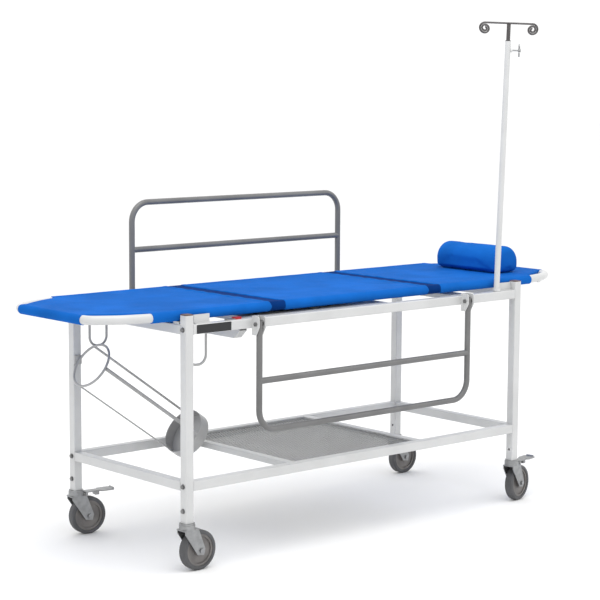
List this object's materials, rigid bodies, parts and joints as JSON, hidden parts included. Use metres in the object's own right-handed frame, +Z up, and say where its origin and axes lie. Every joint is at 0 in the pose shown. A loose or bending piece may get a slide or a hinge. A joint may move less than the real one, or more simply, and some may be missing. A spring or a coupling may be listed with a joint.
{
  "type": "stretcher trolley",
  "caption": "Wheeled patient trolley with a removable padded stretcher, swing-down side guards, telescopic drip pole, wire shelf and oxygen cylinder holder.",
  "frame": {"origin": "on the floor, midway between the four legs", "axes": "+X from the foot end to the head end, +Y to the patient's right, +Z up"},
  "size_m": [2.069, 0.7128, 1.6977],
  "materials": {
    "frame_white": "light grey-white powder coat",
    "guard_grey": "smooth mid grey tube finish",
    "zinc": "zinc plated",
    "dark_chrome": "polished, slightly dark",
    "cap_brown": "moulded, dark reddish brown",
    "tyre": "matt rubber",
    "caster_core": "moulded, grey-brown",
    "plate_black": "plain black",
    "dark_bolt": "blackened",
    "mesh_metal": "expanded metal sheet, light grey",
    "loop_grey": "grey coat",
    "cover_blue": "coated nylon, satin",
    "cover_navy": "coated nylon, satin",
    "grip_red": "dipped plastic"
  },
  "bodies": {
    "trolley": {"leg_foot_left": "frame_white", "leg_foot_right": "frame_white", "leg_head_left": "frame_white", "leg_head_right": "frame_white", "leg_caps": "cap_brown", "top_rail_left": "frame_white", "top_rail_right": "frame_white", "top_crossbars": "frame_white", "lower_crossbars": "frame_white", "shelf_crossbars": "frame_white", "lower_rails": "frame_white", "dropped_crossbar": "frame_white", "deck_panel": "frame_white", "prop_rack": "frame_white", "mesh_shelf": "mesh_metal", "stretcher_rests": "frame_white", "name_plate": "plate_black", "frame_bolts": "dark_bolt", "caster_stems": "zinc", "guard_brackets": "frame_white", "guard_pivots": "dark_bolt", "pole_socket": "frame_white", "cylinder_ring": "loop_grey", "cylinder_rods": "loop_grey", "cylinder_cup": "loop_grey"},
    "stretcher": {"middle_frame": "frame_white", "middle_pad": "cover_blue", "foot_frame": "frame_white", "foot_pad": "cover_blue", "hinge_pins": "zinc", "hinge_strips": "cover_navy"},
    "head_section": {"head_frame": "frame_white", "head_pad": "cover_blue", "bolster": "cover_navy"},
    "backrest_prop": {"backrest_prop": "zinc"},
    "foot_loop_left": {"foot_loop_left": "loop_grey"},
    "foot_loop_right": {"foot_loop_right": "loop_grey"},
    "guard_left": {"guard_left": "guard_grey"},
    "guard_right": {"guard_right": "guard_grey"},
    "drip_pole": {"pole_tube": "frame_white", "pole_bush": "plate_black"},
    "drip_rod": {"pole_rod": "dark_chrome", "bag_hooks": "dark_chrome"},
    "clamp_screw": {"clamp_screw": "zinc"},
    "stretcher_lock": {"lock_lever": "zinc", "lock_grip": "grip_red"},
    "caster_foot_left": {"caster_fork_foot_left": "zinc"},
    "wheel_foot_left": {"caster_core_foot_left": "caster_core", "caster_tyre_foot_left": "tyre"},
    "caster_foot_right": {"caster_fork_foot_right": "zinc"},
    "wheel_foot_right": {"caster_core_foot_right": "caster_core", "caster_tyre_foot_right": "tyre"},
    "pedal_foot_right": {"brake_pedal_foot_right": "zinc"},
    "caster_head_left": {"caster_fork_head_left": "zinc"},
    "wheel_head_left": {"caster_core_head_left": "caster_core", "caster_tyre_head_left": "tyre"},
    "pedal_head_left": {"brake_pedal_head_left": "zinc"},
    "caster_head_right": {"caster_fork_head_right": "zinc"},
    "wheel_head_right": {"caster_core_head_right": "caster_core", "caster_tyre_head_right": "tyre"}
  },
  "joints": [
    {"name": "stretcher_lift", "type": "slide", "parent": "trolley", "child": "stretcher", "axis": [0, 0, 1], "range_m": [0, 0.25]},
    {"name": "head_tilt", "type": "hinge", "parent": "stretcher", "child": "head_section", "pos_m": [0.35, 0, 0.788], "axis": [0, -1, 0], "range_deg": [0, 50]},
    {"name": "prop_swing", "type": "hinge", "parent": "head_section", "child": "backrest_prop", "pos_m": [0.64, 0, 0.78], "axis": [0, -1, 0], "range_deg": [0, 15]},
    {"name": "foot_loop_left_swing", "type": "hinge", "parent": "stretcher", "child": "foot_loop_left", "pos_m": [-0.6645, -0.262, 0.767], "axis": [1, 0, 0], "range_deg": [0, 80]},
    {"name": "foot_loop_right_swing", "type": "hinge", "parent": "stretcher", "child": "foot_loop_right", "pos_m": [-0.6645, 0.262, 0.767], "axis": [-1, 0, 0], "range_deg": [0, 80]},
    {"name": "guard_left_swing", "type": "hinge", "parent": "trolley", "child": "guard_left", "pos_m": [-0.009, -0.332, 0.747], "axis": [-1, 0, 0], "range_deg": [0, 180]},
    {"name": "guard_right_swing", "type": "hinge", "parent": "trolley", "child": "guard_right", "pos_m": [-0.009, 0.332, 0.747], "axis": [-1, 0, 0], "range_deg": [0, 180]},
    {"name": "pole_turn", "type": "hinge", "parent": "trolley", "child": "drip_pole", "pos_m": [0.636, -0.2975, 0.763], "axis": [0.0401, 0, 0.9992], "continuous": true},
    {"name": "rod_slide", "type": "slide", "parent": "drip_pole", "child": "drip_rod", "axis": [0.0401, 0, 0.9992], "range_m": [-0.05, 0.43]},
    {"name": "clamp_screw_turn", "type": "hinge", "parent": "drip_pole", "child": "clamp_screw", "pos_m": [0.66959, -0.2975, 1.59933], "axis": [0.7541, -0.6561, -0.0303], "range_deg": [0, 360]},
    {"name": "lock_swing", "type": "hinge", "parent": "trolley", "child": "stretcher_lock", "pos_m": [-0.575, -0.2935, 0.7663], "axis": [0, 0, -1], "range_deg": [0, 80]},
    {"name": "swivel_foot_left", "type": "hinge", "parent": "trolley", "child": "caster_foot_left", "pos_m": [-0.7325, -0.2975, 0.14], "axis": [0, 0, 1], "continuous": true},
    {"name": "roll_foot_left", "type": "hinge", "parent": "caster_foot_left", "child": "wheel_foot_left", "pos_m": [-0.6925, -0.2975, 0.0625], "axis": [0, 1, 0], "continuous": true},
    {"name": "swivel_foot_right", "type": "hinge", "parent": "trolley", "child": "caster_foot_right", "pos_m": [-0.7325, 0.2975, 0.14], "axis": [0, 0, 1], "continuous": true},
    {"name": "roll_foot_right", "type": "hinge", "parent": "caster_foot_right", "child": "wheel_foot_right", "pos_m": [-0.69289, 0.29193, 0.0625], "axis": [0.1392, 0.9903, 0], "continuous": true},
    {"name": "brake_foot_right", "type": "hinge", "parent": "caster_foot_right", "child": "pedal_foot_right", "pos_m": [-0.7018, 0.29319, 0.14], "axis": [0.1392, 0.9903, 0], "range_deg": [0, 10]},
    {"name": "swivel_head_left", "type": "hinge", "parent": "trolley", "child": "caster_head_left", "pos_m": [0.7325, -0.2975, 0.14], "axis": [0, 0, 1], "continuous": true},
    {"name": "roll_head_left", "type": "hinge", "parent": "caster_head_left", "child": "wheel_head_left", "pos_m": [0.77163, -0.28918, 0.0625], "axis": [-0.2079, 0.9781, 0], "continuous": true},
    {"name": "brake_head_left", "type": "hinge", "parent": "caster_head_left", "child": "pedal_head_left", "pos_m": [0.76282, -0.29106, 0.14], "axis": [-0.2079, 0.9781, 0], "range_deg": [0, 10]},
    {"name": "swivel_head_right", "type": "hinge", "parent": "trolley", "child": "caster_head_right", "pos_m": [0.7325, 0.2975, 0.14], "axis": [0, 0, 1], "continuous": true},
    {"name": "roll_head_right", "type": "hinge", "parent": "caster_head_right", "child": "wheel_head_right", "pos_m": [0.7725, 0.2975, 0.0625], "axis": [0, 1, 0], "continuous": true}
  ],
  "couplings": [
    {"joint": "prop_swing", "follows": "head_tilt", "ratio": 0.3}
  ]
}
